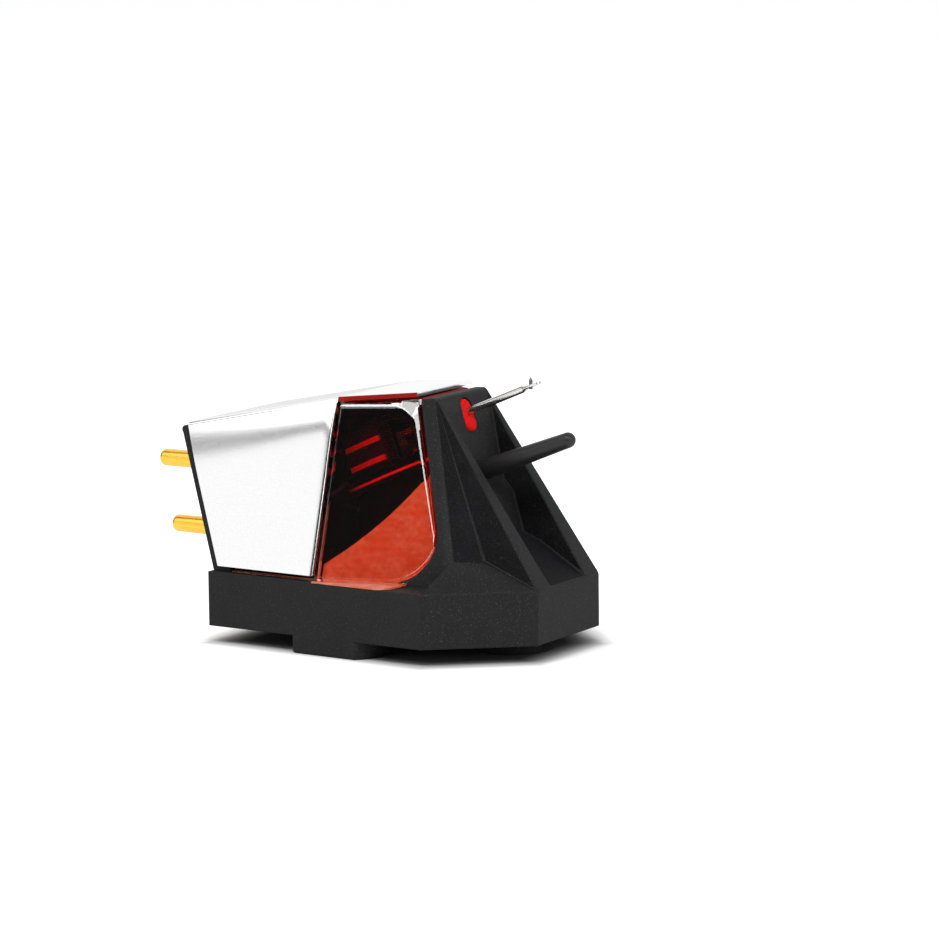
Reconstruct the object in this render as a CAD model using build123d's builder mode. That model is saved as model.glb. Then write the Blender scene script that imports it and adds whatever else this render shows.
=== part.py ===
from build123d import *
import os
from math import atan2, cos, radians, sin, tan

# Stereo turntable cartridge, standing stylus up on its mounting pads.
# The origin lies midway between the two mounting screws, on the faces of the pads.
# +X runs towards the stylus, +Z away from the mounting face, -Y is the left channel's side.
# Lengths are in millimetres and angles in degrees.

# Mounting base
pad_height = 1.2
pad_radius = 3.6
screw_spacing = 12.7
screw_radius = 1.25
screw_depth = 4.0
nose_screw_reach = 9.2
nose_pad_radius = 2.8
base_width = 18.0
base_length = 23.3
base_thickness = 3.7
rear_reach = 9.6
nose_width = 7.9
nose_taper = 6.0
base_corner_radius = 0.3

# Hull that the cover, the saddle, the terminal plate and the front wall share
side_ledge = 0.47
side_lean = 15.2
facet_yaw = 17.4
facet_inset = 0.04
crease_reach = -1.3
crease_height = 12.12
rear_pitch = 11.5
nose_pitch = 4.2
rear_lean = 25.0

# Folded steel saddle
saddle_thickness = 0.3
saddle_nose_reach = 4.05
flap_lift = 0.36
flap_setback = 0.7
fold_radius = 0.35

# Translucent cover
cover_wall = 0.6
cover_gap = 0.05
cover_corner_radius = 3.0
cover_edge_radius = 0.3
lip_thickness = 0.15
lip_length = 6.0
lip_corner_radius = 1.3
groove_width = 0.36
groove_depth = 0.25

# Front wall with its webs, pockets and centre channel
wall_top_reach = 4.3
wall_top_thickness = 1.0
wall_top_drop = 0.45
wall_edge_radius = 0.4
wall_lean = 15.0
pocket_yaw = 40.0
pocket_lean = 17.2
channel_top_width = 5.7
channel_foot_width = 4.4
core_lean = 13.0
buttress_step = 0.8
buttress_lean = 18.4
ramp_angle = 30.0

# Suspension and stylus, measured along the cantilever from the bush's front face
bush_drop = 1.22
bush_recess = 0.25
bush_height = 2.4
bush_width = 1.3
bush_offset = 0.2
bush_length = 1.6
bush_edge_radius = 0.25
stylus_angle = 22.4
tube_radius = 0.25
tube_wall = 0.1
tube_reach = 6.2
tube_tail = 4.2
tip_length = 1.0
tip_neck = 0.5
tip_width = 0.7
tip_thickness = 0.2
stylus_setback = 0.85
stylus_radius = 0.13
stylus_height = 0.64
magnet_radius = 0.6
magnet_length = 2.2
magnet_gap = 0.3
wire_radius = 0.06
wire_length = 4.1
anchor_width = 1.0
anchor_length = 1.2
running_gap = 0.02

# Guide pin below the bush, over the ledge of the buttress
guide_drop = 4.0
guide_lift = 20.8
guide_root_radius = 0.73
guide_tip_radius = 0.53
guide_length = 7.9
guide_seat = 0.8
ledge_gap = 0.1
ledge_fall = 0.8

# Coils and their poles, one coil on each side
coil_setback = 5.4
coil_length = 4.0
coil_width = 2.2
coil_height = 3.4
coil_offset = 2.0
flange_thickness = 0.35
flange_overhang = 0.2
bobbin_wall = 0.25
pole_thickness = 0.4
pole_width = 0.6
leg_length = 1.2
toe_clearance = 0.75
toe_length = 2.0
bend_length = 1.0
table_thickness = 0.5
table_margin = 0.2
pedestal_width = 4.0

# Pale filling in the front foot corner, behind the cover's facets
filling_rear_reach = -1.0
filling_rear_height = 1.0
filling_wall_height = 7.5
filling_sag = 0.45
filling_gap = 0.05

# Terminals
plate_thickness = 1.5
plate_corner_radius = 0.5
pin_radius = 0.6
pin_reach = 4.1
pin_shank_radius = 0.3
pin_tail = 1.2
pin_end_radius = 0.35
boss_radius = 1.0
upper_pin_height = 6.65
lower_pin_height = 2.4
upper_pin_spacing = 8.0
lower_pin_spacing = 10.8
lead_radius = 0.15
lead_bend_radius = 0.5
lead_run = 1.2

# Places worked out from the sizes above
base_top = pad_height + base_thickness
base_rear = -rear_reach
base_nose = base_rear + base_length
taper_start = base_nose - nose_taper
base_half = base_width / 2
nose_half = nose_width / 2
hull_foot_half = base_half - side_ledge
crease_z = base_top + crease_height
side_slope = tan(radians(side_lean))
facet_slope = tan(radians(facet_yaw))


def roof_z(x, drop=0.0):
    """Height of the hull's roof at x, lowered by drop."""
    pitch = nose_pitch if x > crease_reach else rear_pitch
    return crease_z - drop + (x - crease_reach) * tan(radians(pitch))


def rear_x(z, step=0.0):
    """X of the leaning rear face at height z, moved forward by step."""
    return base_rear + step - (z - base_top) * tan(radians(rear_lean))


def rear_roof_corner(step, drop):
    """Corner where the rear face, moved by step, meets the rear roof, lowered by drop."""
    rise = tan(radians(rear_pitch))
    lean = tan(radians(rear_lean))
    x_foot = base_rear + step
    height = (crease_height - drop + rise * (x_foot - crease_reach)) / (1 + rise * lean)
    return (x_foot - lean * height, base_top + height)


def hull_half(x, z):
    """Half the hull's width at x and z, on its sides or, past the crease, on its front facets."""
    return hull_foot_half - side_slope * (z - base_top) - facet_slope * max(0, x - crease_reach)


def hull_planes(slant, inset):
    """Leaning planes on both sides of the hull, facing out, moved inwards by inset."""
    planes = []
    for side in (-1, 1):
        foot = (crease_reach, side * hull_foot_half, base_top)
        planes.append(Plane(origin=foot, z_dir=(slant, side, side_slope)).offset(-inset))
    return planes


def side_planes(inset):
    """Side planes of the hull, moved inwards by inset."""
    return hull_planes(0, inset)


def facet_planes(inset):
    """Front facet planes of the hull, moved inwards by inset."""
    return hull_planes(facet_slope, inset)


def trimmed_prism(points, planes=(), rounded=()):
    """Outline in the XZ plane with rounded corners, drawn out to the base's width and trimmed by planes."""
    with BuildPart() as prism:
        with BuildSketch(Plane.XZ) as outline:
            with BuildLine():
                Polyline(*points, close=True)
            make_face()
            for corner, radius in rounded:
                fillet(outline.vertices().sort_by_distance((*corner, 0))[0], radius)
        extrude(amount=base_half, both=True)
        for plane in planes:
            split(bisect_by=plane, keep=Keep.BOTTOM)
    return prism.part


def side_slabs(x_rear, x_front, inset):
    """Slabs from x_rear to x_front outside both side planes, moved inwards by inset."""
    outline = [(x_rear, base_top), (x_rear, crease_z), (x_front, crease_z), (x_front, base_top)]
    with BuildPart() as slabs:
        add(trimmed_prism(outline))
        add(trimmed_prism(outline, side_planes(inset)), mode=Mode.SUBTRACT)
    return slabs.part


# Front wall: where its edges lie
wall_slope = tan(radians(wall_lean))
wall_top_front = wall_top_reach + wall_top_thickness
wall_top_z = roof_z(wall_top_front, wall_top_drop)
wall_rear_top_z = roof_z(wall_top_reach, wall_top_drop)
wall_foot_x = wall_top_reach + (wall_rear_top_z - base_top) * wall_slope
front_slope = (base_nose - wall_top_front) / (wall_top_z - base_top)
facet_offset = facet_inset * (1 + facet_slope**2 + side_slope**2) ** 0.5
wall_top_half = hull_half(wall_top_front, wall_top_z) - facet_offset
web_slope = (nose_half - wall_top_half) / (wall_top_z - base_top)

# Suspension: the bush's front centre, and a frame whose X runs along the cantilever
bush_z = wall_top_z - bush_drop
bush_x = wall_top_front + front_slope * bush_drop - bush_recess
along = Vector(cos(radians(stylus_angle)), 0, sin(radians(stylus_angle)))
upward = Vector(-sin(radians(stylus_angle)), 0, cos(radians(stylus_angle)))
stylus_frame = Plane(origin=(bush_x, 0, bush_z), x_dir=along, z_dir=upward)
core_slope = tan(radians(core_lean))
buttress_slope = tan(radians(buttress_lean))


def stylus_point(u, y=0.0, v=0.0):
    """Point u along the cantilever, y to the right channel's side and v above its axis."""
    return stylus_frame.from_local_coords((u, y, v))


def round_plane(u, y=0.0, v=0.0):
    """Plane square to the cantilever at a point of its frame."""
    return Plane(origin=stylus_point(u, y, v), x_dir=(0, 1, 0), z_dir=along)


def profile_plane(y=0.0):
    """Plane along the cantilever at y, whose sketch axes are u and v."""
    return Plane(origin=stylus_point(0, y, 0), x_dir=along, z_dir=(0, -1, 0))


# Guide pin: its root on the core's face, and the ledge just below it
guide_out = Vector(cos(radians(guide_lift)), 0, sin(radians(guide_lift)))
guide_root = Vector(bush_x + guide_drop * core_slope, 0, bush_z - guide_drop)
guide_plane = Plane(origin=guide_root, x_dir=(0, 1, 0), z_dir=guide_out)
ledge_z = guide_root.Z - guide_root_radius / cos(radians(guide_lift)) - ledge_gap
ledge_rear_x = bush_x + (bush_z - ledge_z) * core_slope
ledge_front_x = ledge_rear_x + buttress_step

# Terminal pins: name, y, z
terminals = []
for channel, side in (("left", -1), ("right", 1)):
    terminals.append((f"{channel}_signal_pin", side * upper_pin_spacing / 2, base_top + upper_pin_height))
    terminals.append((f"{channel}_ground_pin", side * lower_pin_spacing / 2, base_top + lower_pin_height))
boss_face_step = -boss_radius * tan(radians(rear_lean))

os.makedirs("parts", exist_ok=True)


def write(node, name):
    """Label a finished piece and write it to its own file."""
    node.part.label = name
    export_step(node.part, f"parts/{name}.step")


# Moulded body: base slab, three pads, front wall, webs, pockets and centre channel
base_outline = [
    (base_rear, -base_half),
    (taper_start, -base_half),
    (base_nose, -nose_half),
    (base_nose, nose_half),
    (taper_start, base_half),
    (base_rear, base_half),
]
wall_outline = [
    (crease_reach, base_top - base_thickness / 2),
    (crease_reach, base_top),
    (wall_foot_x, base_top),
    (wall_top_reach, wall_rear_top_z),
    (wall_top_front, wall_top_z),
    (base_nose, base_top),
    (base_nose, base_top - base_thickness / 2),
]
nose_turn = atan2(base_half - nose_half, nose_taper)
pocket_planes = []
web_planes = []
for side in (-1, 1):
    nose_corner = (base_nose, side * nose_half, base_top)
    top_corner = (wall_top_front, side * wall_top_half, wall_top_z)
    level = cos(radians(pocket_lean))
    yaw = radians(pocket_yaw)
    turned = (level * sin(yaw), side * level * cos(yaw), sin(radians(pocket_lean)))
    pocket_planes.append(Plane(origin=top_corner, z_dir=turned))
    web_planes.append(Plane(origin=top_corner, z_dir=(0, side, web_slope)))
    web_planes.append(Plane(origin=nose_corner, z_dir=(sin(nose_turn), side * cos(nose_turn), 0)))
wall_corners = [
    ((wall_foot_x, base_top), cover_corner_radius),
    ((wall_top_front, wall_top_z), wall_edge_radius),
]
cheeks = trimmed_prism(wall_outline, facet_planes(facet_inset) + pocket_planes, wall_corners)
webs = trimmed_prism(wall_outline, web_planes, wall_corners)

# The channel starts where a face square to the cantilever comes out of the front wall
channel_draft = (channel_top_width - channel_foot_width) / 2 / (bush_z - base_top)
square_slope = tan(radians(stylus_angle))
channel_rise = bush_recess / (front_slope - square_slope)
channel_top = (bush_x - square_slope * channel_rise, bush_z + channel_rise)
channel = trimmed_prism(
    [
        channel_top,
        (bush_x, bush_z),
        (ledge_rear_x, ledge_z),
        (ledge_front_x, ledge_z - ledge_fall),
        (ledge_front_x + (ledge_z - ledge_fall - base_top) * buttress_slope, base_top),
        (base_nose + nose_taper, base_top),
        (base_nose + nose_taper, channel_top[1]),
    ],
    [
        Plane(origin=(base_nose, side * channel_foot_width / 2, base_top), z_dir=(0, side, -channel_draft))
        for side in (-1, 1)
    ],
)

with BuildPart() as tower:
    add(cheeks)
    add(webs)
    add(channel, mode=Mode.SUBTRACT)

with BuildPart() as apron:
    with BuildSketch(Plane.XY.offset(base_top)):
        with BuildLine():
            Polyline(*base_outline[1:5], close=True)
        make_face()
    extrude(amount=nose_taper)
    for turn, foot in ((0, (base_nose, 0)), (-1, (taper_start, -base_half)), (1, (taper_start, base_half))):
        out_x = sin(nose_turn) if turn else 1
        out_y = turn * cos(nose_turn)
        rise = sin(radians(ramp_angle))
        ramp = Plane(origin=(*foot, base_top), z_dir=(out_x * rise, out_y * rise, cos(radians(ramp_angle))))
        split(bisect_by=ramp, keep=Keep.BOTTOM)

screw_points = [(0, -screw_spacing / 2), (0, screw_spacing / 2), (nose_screw_reach, 0)]
with BuildPart() as body:
    with BuildSketch(Plane.XY.offset(pad_height)) as slab:
        with BuildLine():
            Polyline(*base_outline, close=True)
        make_face()
        fillet(slab.vertices().group_by(Axis.X)[0], base_corner_radius)
    extrude(amount=base_thickness)
    with BuildSketch(Plane.XY):
        with Locations(*screw_points[:2]):
            Circle(pad_radius)
        with Locations(screw_points[2]):
            Circle(nose_pad_radius)
        with BuildLine():
            Polyline(*base_outline, close=True)
        make_face(mode=Mode.INTERSECT)
    extrude(amount=pad_height)
    add(apron.part)
    add(tower.part)
    with Locations(*[Location((x, y, 0), (180, 0, 0)) for x, y in screw_points]):
        Hole(screw_radius, screw_depth)
    with BuildSketch(round_plane(0, v=-bush_offset)):
        SlotOverall(bush_height, bush_width, rotation=90)
    extrude(amount=bush_length + cover_corner_radius, both=True, mode=Mode.SUBTRACT)
    with BuildSketch(guide_plane):
        Circle(guide_root_radius)
    extrude(amount=guide_seat, both=True, mode=Mode.SUBTRACT)
write(body, "body")

# Translucent cover: a tunnel over the coils, open at both ends and below, its sides let in for the flaps
plate_step = wall_top_drop - saddle_thickness
cover_back = (cover_gap + wall_slope * plate_step) / (1 + wall_slope * tan(radians(nose_pitch)))
cover_front_x = wall_top_reach - cover_back
cover_front_top = (cover_front_x, roof_z(cover_front_x, saddle_thickness))
cover_foot = (wall_foot_x - cover_gap, base_top)
cover_shell = trimmed_prism(
    [
        (rear_x(base_top, plate_thickness), base_top),
        rear_roof_corner(plate_thickness, saddle_thickness),
        (crease_reach, roof_z(crease_reach, saddle_thickness)),
        cover_front_top,
        cover_foot,
    ],
    facet_planes(facet_inset),
    [(cover_foot, cover_corner_radius)],
)
inner_drop = saddle_thickness + cover_wall
cover_hollow = trimmed_prism(
    [
        (rear_x(0), 0),
        rear_roof_corner(0, inner_drop),
        (crease_reach, roof_z(crease_reach, inner_drop)),
        (base_nose, roof_z(base_nose, inner_drop)),
        (base_nose, 0),
    ],
    side_planes(inner_drop) + facet_planes(facet_inset + cover_wall),
)
foot_reach = cover_corner_radius / tan(radians(90 - wall_lean) / 2)
foot_toe_x = wall_foot_x - foot_reach - cover_gap
facet_edge_x = crease_reach + groove_width
flap_seats = side_slabs(rear_x(crease_z), facet_edge_x, saddle_thickness)
crease_grooves = side_slabs(crease_reach, facet_edge_x, saddle_thickness + groove_depth)
lip_toe_x = facet_edge_x + lip_length
lip_top = base_top + lip_thickness
wall_clearance = trimmed_prism(
    [(foot_toe_x, base_top), (foot_toe_x, lip_top), (lip_toe_x, lip_top), (lip_toe_x, base_top)],
    facet_planes(facet_inset - cover_gap),
)
with BuildPart() as foot_lip:
    with BuildSketch(Plane.XY.offset(base_top)) as lip_outline:
        with BuildLine():
            Polyline(
                (facet_edge_x, -base_half),
                (lip_toe_x, -base_half),
                (lip_toe_x, base_half),
                (facet_edge_x, base_half),
                close=True,
            )
        make_face()
        fillet(lip_outline.vertices().group_by(Axis.X)[-1], lip_corner_radius)
    extrude(amount=lip_thickness)
    add(wall_clearance, mode=Mode.SUBTRACT)
with BuildPart() as generator_cover:
    add(cover_shell)
    add(flap_seats, mode=Mode.SUBTRACT)
    facet_x = (crease_reach + cover_front_x) / 2
    facet_z = roof_z(facet_x, saddle_thickness)
    front_z = (base_top + crease_z) / 2
    front_x = wall_top_reach + (wall_rear_top_z - front_z) * wall_slope
    rims = []
    for x, z in ((facet_x, facet_z), (front_x, front_z)):
        for side in (-1, 1):
            rim_middle = (x, side * hull_half(x, z), z)
            rims.append(generator_cover.edges().sort_by_distance(rim_middle)[0])
    fillet(rims, cover_edge_radius)
    add(foot_lip.part)
    add(crease_grooves, mode=Mode.SUBTRACT)
    add(cover_hollow, mode=Mode.SUBTRACT)
write(generator_cover, "generator_cover")

# Folded steel saddle: roof plate in two pitches, with a flap down each side
flap_z = base_top + flap_lift
saddle_block = trimmed_prism(
    [
        (rear_x(flap_z, flap_setback), flap_z),
        rear_roof_corner(flap_setback, 0),
        (crease_reach, crease_z),
        (crease_reach, flap_z),
    ],
    side_planes(0),
)
saddle_core = trimmed_prism(
    [
        (rear_x(0), 0),
        rear_roof_corner(0, saddle_thickness),
        (crease_reach, roof_z(crease_reach, saddle_thickness)),
        (base_nose, roof_z(crease_reach, saddle_thickness)),
        (base_nose, 0),
    ],
    side_planes(saddle_thickness),
)
nose_plate = trimmed_prism(
    [
        (crease_reach, crease_z),
        (saddle_nose_reach, roof_z(saddle_nose_reach)),
        (saddle_nose_reach, roof_z(saddle_nose_reach, saddle_thickness)),
        (crease_reach, roof_z(crease_reach, saddle_thickness)),
    ],
    facet_planes(facet_inset),
)
with BuildPart() as steel_saddle:
    add(saddle_block)
    fold_x = (rear_roof_corner(flap_setback, 0)[0] + crease_reach) / 2
    fold_z = roof_z(fold_x)
    folds = []
    for side in (-1, 1):
        fold_middle = (fold_x, side * hull_half(fold_x, fold_z), fold_z)
        folds.append(steel_saddle.edges().sort_by_distance(fold_middle)[0])
    fillet(folds, fold_radius)
    add(saddle_core, mode=Mode.SUBTRACT)
    add(nose_plate)
write(steel_saddle, "steel_saddle")

# Terminal plate: closes the leaning rear end, with a square boss face at each pin
plate_block = trimmed_prism(
    [
        (rear_x(base_top), base_top),
        rear_roof_corner(0, saddle_thickness),
        rear_roof_corner(plate_thickness, saddle_thickness),
        (rear_x(base_top, plate_thickness), base_top),
    ],
    side_planes(saddle_thickness),
)
with BuildPart() as terminal_plate:
    add(plate_block)
    plate_ends = [rear_roof_corner(step, saddle_thickness) for step in (0, plate_thickness)]
    plate_top_x = (plate_ends[0][0] + plate_ends[1][0]) / 2
    plate_top_z = (plate_ends[0][1] + plate_ends[1][1]) / 2
    plate_top_half = hull_half(plate_top_x, plate_top_z)
    top_corners = []
    for side in (-1, 1):
        corner = (plate_top_x, side * plate_top_half, plate_top_z)
        top_corners.append(terminal_plate.edges().sort_by_distance(corner)[0])
    fillet(top_corners, plate_corner_radius)
    for name, y, z in terminals:
        with BuildSketch(Plane(origin=(rear_x(z, boss_face_step), y, z), z_dir=(1, 0, 0))):
            Circle(boss_radius)
        extrude(amount=plate_thickness / 2 - boss_face_step)
    for name, y, z in terminals:
        with BuildSketch(Plane(origin=(rear_x(z, plate_thickness / 2), y, z), z_dir=(1, 0, 0))):
            Circle(pin_shank_radius + running_gap)
        extrude(amount=plate_thickness + boss_radius, both=True, mode=Mode.SUBTRACT)
write(terminal_plate, "terminal_plate")

# Terminal pins: turned, seated square on their bosses, with a tail for the lead
pin_tails = {}
for name, y, z in terminals:
    tip_x = rear_x(z) - pin_reach
    seat_x = rear_x(z, boss_face_step)
    tail_x = rear_x(z, plate_thickness) + pin_tail
    with BuildPart() as pin:
        with BuildSketch(Plane(origin=(seat_x, y, z), z_dir=(-1, 0, 0))):
            Circle(pin_radius)
        extrude(amount=seat_x - tip_x)
        fillet(pin.edges().group_by(Axis.X)[0], pin_end_radius)
        with BuildSketch(Plane(origin=(seat_x, y, z), z_dir=(1, 0, 0))):
            Circle(pin_shank_radius)
        extrude(amount=tail_x - seat_x)
    write(pin, name)
    pin_tails[name] = Vector(tail_x, y, z)

# Guide pin: a tapered finger with a rounded end
with BuildPart() as guide_pin:
    with BuildSketch(Plane.XY):
        with BuildLine():
            Polyline(
                (0, -guide_seat),
                (guide_root_radius - running_gap, -guide_seat),
                (guide_root_radius - running_gap, 0),
                (guide_tip_radius, guide_length - guide_tip_radius),
            )
            RadiusArc(
                (guide_tip_radius, guide_length - guide_tip_radius), (0, guide_length), -guide_tip_radius
            )
            Line((0, guide_length), (0, -guide_seat))
        make_face()
    revolve(axis=Axis.Y)
guide_pin.part = guide_plane.location * Rot(X=90) * guide_pin.part
write(guide_pin, "guide_pin")

# Suspension bush: an upright rubber plug round the cantilever, rounded at its front
with BuildPart() as suspension_bush:
    with BuildSketch(round_plane(0, v=-bush_offset)):
        SlotOverall(bush_height - 2 * running_gap, bush_width - 2 * running_gap, rotation=90)
    extrude(amount=-bush_length)
    fillet(suspension_bush.edges().group_by(Axis(stylus_frame.origin, along))[-1], bush_edge_radius)
    with BuildSketch(round_plane(0)):
        Circle(tube_radius + running_gap)
    extrude(amount=-bush_length, mode=Mode.SUBTRACT)
write(suspension_bush, "suspension_bush")

# Cantilever: a tube pressed flat at its front end, with a hole for the diamond
flat_u = tube_reach - tip_length
neck_u = flat_u - tip_neck
stylus_u = tube_reach - stylus_setback
with BuildPart() as cantilever:
    with BuildSketch(round_plane(-tube_tail)):
        Circle(tube_radius)
    extrude(amount=tube_tail + neck_u)
    with BuildSketch(round_plane(neck_u)):
        Circle(tube_radius)
    with BuildSketch(round_plane(flat_u)):
        SlotOverall(tip_width, tip_thickness)
    loft()
    with BuildSketch(round_plane(flat_u)):
        SlotOverall(tip_width, tip_thickness)
    extrude(amount=tip_length)
    with BuildSketch(stylus_frame):
        with Locations((tube_reach - tip_width / 2, 0)):
            Rectangle(tip_width, tip_width)
            Circle(tip_width / 2, mode=Mode.SUBTRACT)
        with Locations((tube_reach - tip_width, 0)):
            Rectangle(tip_width, tip_width, mode=Mode.SUBTRACT)
    extrude(amount=tip_thickness, both=True, mode=Mode.SUBTRACT)
    with BuildSketch(round_plane(-tube_tail)):
        Circle(tube_radius - tube_wall)
    extrude(amount=tube_tail + neck_u, mode=Mode.SUBTRACT)
    with BuildSketch(Plane(origin=stylus_point(stylus_u), z_dir=(0, 0, 1))):
        Circle(stylus_radius + running_gap / 2)
    extrude(amount=tip_width, both=True, mode=Mode.SUBTRACT)
write(cantilever, "cantilever")

# Diamond: a round shank through the flattened end, ground to a point
with BuildPart() as stylus_tip:
    with BuildSketch(Plane.XZ):
        with BuildLine():
            Polyline(
                (0, -tip_thickness),
                (stylus_radius, -tip_thickness),
                (stylus_radius, stylus_height - 2 * stylus_radius),
                (0, stylus_height),
                close=True,
            )
        make_face()
    revolve(axis=Axis.Z)
stylus_tip.part = Pos(stylus_point(stylus_u)) * stylus_tip.part
write(stylus_tip, "stylus_tip")

# Magnet: a sleeve on the tail of the cantilever, behind the bush
magnet_front = -bush_length - magnet_gap
with BuildPart() as magnet:
    with BuildSketch(round_plane(magnet_front)):
        Circle(magnet_radius)
        Circle(tube_radius + running_gap / 2, mode=Mode.SUBTRACT)
    extrude(amount=-magnet_length)
write(magnet, "magnet")

# Tie wire: from inside the tube back to its anchor
wire_front = magnet_front - magnet_length / 4
wire_rear = wire_front - wire_length
with BuildPart() as tie_wire:
    with BuildSketch(round_plane(wire_front)):
        Circle(wire_radius)
    extrude(amount=-wire_length)
write(tie_wire, "tie_wire")

with BuildPart() as wire_anchor:
    with BuildSketch(round_plane(wire_rear + anchor_length / 2)):
        Rectangle(anchor_width, anchor_width)
        Circle(wire_radius + running_gap, mode=Mode.SUBTRACT)
    extrude(amount=-anchor_length)
write(wire_anchor, "wire_anchor")

# Coils: a bobbin with a square winding on each side, the coil's axis square to the cantilever
coil_u = -coil_setback - coil_length / 2
winding_length = coil_length - 2 * flange_overhang
winding_width = coil_width - 2 * flange_overhang
slot_length = leg_length + 2 * running_gap
slot_width = pole_width + 2 * running_gap
core_length = slot_length + 2 * bobbin_wall
core_width = slot_width + 2 * bobbin_wall
winding_height = coil_height - 2 * flange_thickness


def coil_plane(side, v):
    """Plane square to a coil's axis at v, centred on the coil."""
    return Plane(origin=stylus_point(coil_u, side * coil_offset, v), x_dir=along, z_dir=upward)


for channel, side in (("left", -1), ("right", 1)):
    with BuildPart() as bobbin:
        with BuildSketch(coil_plane(side, -coil_height / 2), coil_plane(side, winding_height / 2)):
            RectangleRounded(coil_length, coil_width, flange_overhang)
        extrude(amount=flange_thickness)
        with BuildSketch(coil_plane(side, 0)):
            Rectangle(core_length, core_width)
        extrude(amount=winding_height / 2, both=True)
        with BuildSketch(coil_plane(side, 0)):
            Rectangle(slot_length, slot_width)
        extrude(amount=coil_height, both=True, mode=Mode.SUBTRACT)
    write(bobbin, f"{channel}_bobbin")

    with BuildPart() as winding:
        with BuildSketch(coil_plane(side, 0)):
            RectangleRounded(winding_length, winding_width, winding_width / 4)
            Rectangle(core_length, core_width, mode=Mode.SUBTRACT)
        extrude(amount=winding_height / 2, both=True)
    write(winding, f"{channel}_winding")

# Poles: a leg inside the bobbin, an arm bent towards the cantilever, and a toe beside the magnet
arm_v = coil_height / 2
toe_rear = magnet_front - magnet_length / 2 - toe_length / 2
toe_span = coil_offset + pole_width / 2 - toe_clearance
for channel, side in (("left", -1), ("right", 1)):
    for height, level in (("lower", -1), ("upper", 1)):
        arm_line = [
            (coil_u - leg_length / 2, running_gap),
            (coil_u + leg_length / 2, running_gap),
            (coil_u + leg_length / 2, arm_v),
            (toe_rear - bend_length, arm_v),
            (toe_rear, toe_clearance),
            (toe_rear + toe_length, toe_clearance),
            (toe_rear + toe_length, toe_clearance + pole_thickness),
            (toe_rear, toe_clearance + pole_thickness),
            (toe_rear - bend_length, arm_v + pole_thickness),
            (coil_u - leg_length / 2, arm_v + pole_thickness),
        ]
        with BuildPart() as pole:
            with BuildSketch(profile_plane(side * coil_offset)):
                with BuildLine():
                    Polyline(*[(u, level * v) for u, v in arm_line], close=True)
                make_face()
            extrude(amount=pole_width / 2, both=True)
            with BuildSketch(profile_plane(side * (toe_clearance + toe_span / 2))):
                with Locations((toe_rear + toe_length / 2, level * (toe_clearance + pole_thickness / 2))):
                    Rectangle(toe_length, pole_thickness)
            extrude(amount=toe_span / 2, both=True)
        write(pole, f"{channel}_{height}_pole")

# Carrier: a sloped table under the coils on a pedestal, with a rib up to the wire's anchor
table_v = -arm_v - pole_thickness - running_gap
table_rear = coil_u - coil_length / 2 - table_margin
table_front = toe_rear + toe_length
table_half = coil_offset + coil_width / 2
anchor_u = wire_rear
pedestal_rear = stylus_point(table_rear, 0, table_v - table_thickness / 2)
pedestal_front = stylus_point(table_front, 0, table_v - table_thickness / 2)
with BuildPart() as generator_carrier:
    with BuildSketch(profile_plane()):
        with BuildLine():
            Polyline(
                (table_rear, table_v - table_thickness),
                (table_front, table_v - table_thickness),
                (table_front, table_v),
                (table_rear, table_v),
                close=True,
            )
        make_face()
    extrude(amount=table_half, both=True)
    with BuildSketch(profile_plane()):
        with BuildLine():
            Polyline(
                (anchor_u - anchor_length / 2, table_v - table_thickness / 2),
                (anchor_u + anchor_length / 2, table_v - table_thickness / 2),
                (anchor_u + anchor_length / 2, -anchor_width / 2),
                (anchor_u - anchor_length / 2, -anchor_width / 2),
                close=True,
            )
        make_face()
    extrude(amount=anchor_width / 2, both=True)
    with BuildSketch(Plane.XZ):
        with BuildLine():
            Polyline(
                (pedestal_rear.X, base_top),
                (foot_toe_x, base_top),
                (pedestal_front.X, pedestal_front.Z),
                (pedestal_rear.X, pedestal_rear.Z),
                close=True,
            )
        make_face()
    extrude(amount=pedestal_width / 2, both=True)
write(generator_carrier, "generator_carrier")

# Corner filling: cast over the carrier's foot and up the front wall, its top drawn into a hollow curve
filling_heel = (filling_rear_reach, base_top)
filling_rear = (filling_rear_reach, base_top + filling_rear_height)
filling_top = (cover_foot[0] - filling_wall_height * wall_slope, base_top + filling_wall_height)
with BuildPart() as corner_filling:
    with BuildSketch(Plane.XZ) as filling_outline:
        with BuildLine():
            Polyline(filling_top, cover_foot, filling_heel, filling_rear)
            SagittaArc(filling_rear, filling_top, -filling_sag)
        make_face()
        fillet(filling_outline.vertices().sort_by_distance((*cover_foot, 0))[0], cover_corner_radius)
    extrude(amount=base_half, both=True)
    for plane in facet_planes(facet_inset + cover_wall + filling_gap) + side_planes(inner_drop + filling_gap):
        split(bisect_by=plane, keep=Keep.BOTTOM)
    add(generator_carrier.part, mode=Mode.SUBTRACT)
write(corner_filling, "corner_filling")

# Leads: from the rear of each bobbin's flanges to the tails of the pins
flange_v = coil_height / 2 - flange_thickness / 2
for channel, side in (("left", -1), ("right", 1)):
    for kind, level in (("signal", 1), ("ground", -1)):
        tail = pin_tails[f"{channel}_{kind}_pin"]
        start = (coil_u - coil_length / 2, side * coil_offset, level * flange_v)
        route = [
            stylus_point(*start),
            stylus_point(start[0] - lead_run, *start[1:]),
            tail + Vector(lead_run, 0, 0),
            tail,
        ]
        with BuildPart() as lead:
            with BuildLine() as path:
                FilletPolyline(*route, radius=lead_bend_radius)
            with BuildSketch(path.line ^ 0):
                Circle(lead_radius)
            sweep()
        write(lead, f"{channel}_{kind}_lead")
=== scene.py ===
"""Looks of a turntable stylus cartridge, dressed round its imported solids."""

import logging
from dataclasses import dataclass, field
from enum import Enum, IntEnum
from math import atan2, cos, degrees, hypot, pi, radians, sin, tan

import bmesh
import bpy
from mathutils import Matrix, Vector


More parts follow.
